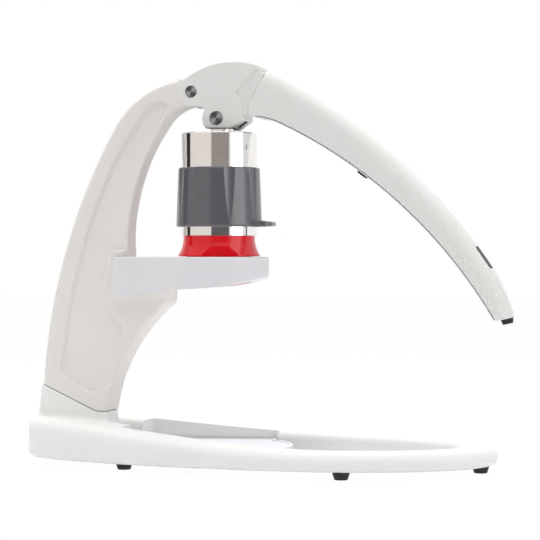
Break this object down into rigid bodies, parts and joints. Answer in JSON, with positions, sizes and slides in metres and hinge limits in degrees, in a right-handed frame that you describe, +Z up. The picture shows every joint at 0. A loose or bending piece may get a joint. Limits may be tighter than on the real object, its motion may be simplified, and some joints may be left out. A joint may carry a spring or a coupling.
{
  "type": "manual lever espresso maker",
  "caption": "Hand-pressed lever espresso maker: oval base, curved post, long hinged lever, and a brew cylinder on a holder arm above a drip tray.",
  "frame": {"origin": "middle of the footprint on the table, under the middle of the overall length", "axes": "+X to the front, where the lever's tip points; +Y to the left; +Z up"},
  "size_m": [0.3208, 0.137, 0.2659],
  "materials": {
    "warm_white_paint": "satin powder coat",
    "cool_white_paint": "satin paint",
    "white_plastic": "satin",
    "black_rubber": "matt",
    "dark_plastic": "matt",
    "turned_steel": "turned",
    "polished_steel": "polished",
    "red_plastic": "gloss",
    "grey_rubber": "matt silicone"
  },
  "bodies": {
    "stand": {"base": "warm_white_paint", "rear_left_foot": "black_rubber", "rear_right_foot": "black_rubber", "middle_left_foot": "black_rubber", "middle_right_foot": "black_rubber", "front_foot": "black_rubber", "post": "warm_white_paint", "post_screws": "turned_steel", "holder": "cool_white_paint", "holder_screws": "turned_steel", "left_pivot_bush": "dark_plastic", "right_pivot_bush": "dark_plastic"},
    "lever": {"lever_head": "warm_white_paint", "lever_handle": "warm_white_paint", "handle_cover": "white_plastic", "cover_screws": "turned_steel", "tang_screws": "turned_steel", "middle_bumper": "black_rubber", "tip_bumper": "black_rubber", "handle_inlay": "dark_plastic", "stop_pad": "black_rubber", "pivot_pin": "turned_steel", "press_pin": "turned_steel"},
    "plunger": {"plunger": "polished_steel", "plunger_bush": "dark_plastic"},
    "brew_head": {"portafilter": "red_plastic", "filter_basket": "turned_steel", "spreader_screen": "turned_steel", "cylinder_seal": "black_rubber", "brew_cylinder": "polished_steel", "grip_sleeve": "grey_rubber"},
    "piston": {"piston": "polished_steel", "lower_piston_ring": "black_rubber", "upper_piston_ring": "black_rubber", "piston_stem": "polished_steel"},
    "drip_tray": {"drip_tray": "white_plastic"}
  },
  "joints": [
    {"name": "lever_hinge", "type": "hinge", "parent": "stand", "child": "lever", "pos_m": [-0.04979, 0, 0.2466], "axis": [0, -1, 0], "range_deg": [0, 85]},
    {"name": "plunger_hinge", "type": "hinge", "parent": "lever", "child": "plunger", "pos_m": [-0.03259, 0, 0.2289], "axis": [0, -1, 0], "range_deg": [-85, 0]},
    {"name": "brew_head_turn", "type": "hinge", "parent": "stand", "child": "brew_head", "pos_m": [-0.03439, 0, 0.138], "axis": [0, 0, 1], "continuous": true},
    {"name": "piston_slide", "type": "slide", "parent": "brew_head", "child": "piston", "axis": [0, 0, 1], "range_m": [0, 0.0328]},
    {"name": "tray_lift", "type": "slide", "parent": "stand", "child": "drip_tray", "axis": [0, 0, 1], "range_m": [0, 0.06]}
  ],
  "couplings": [
    {"joint": "plunger_hinge", "follows": "lever_hinge", "ratio": -1},
    {"joint": "piston_slide", "follows": "lever_hinge", "m_per_rad": 0.02206}
  ]
}
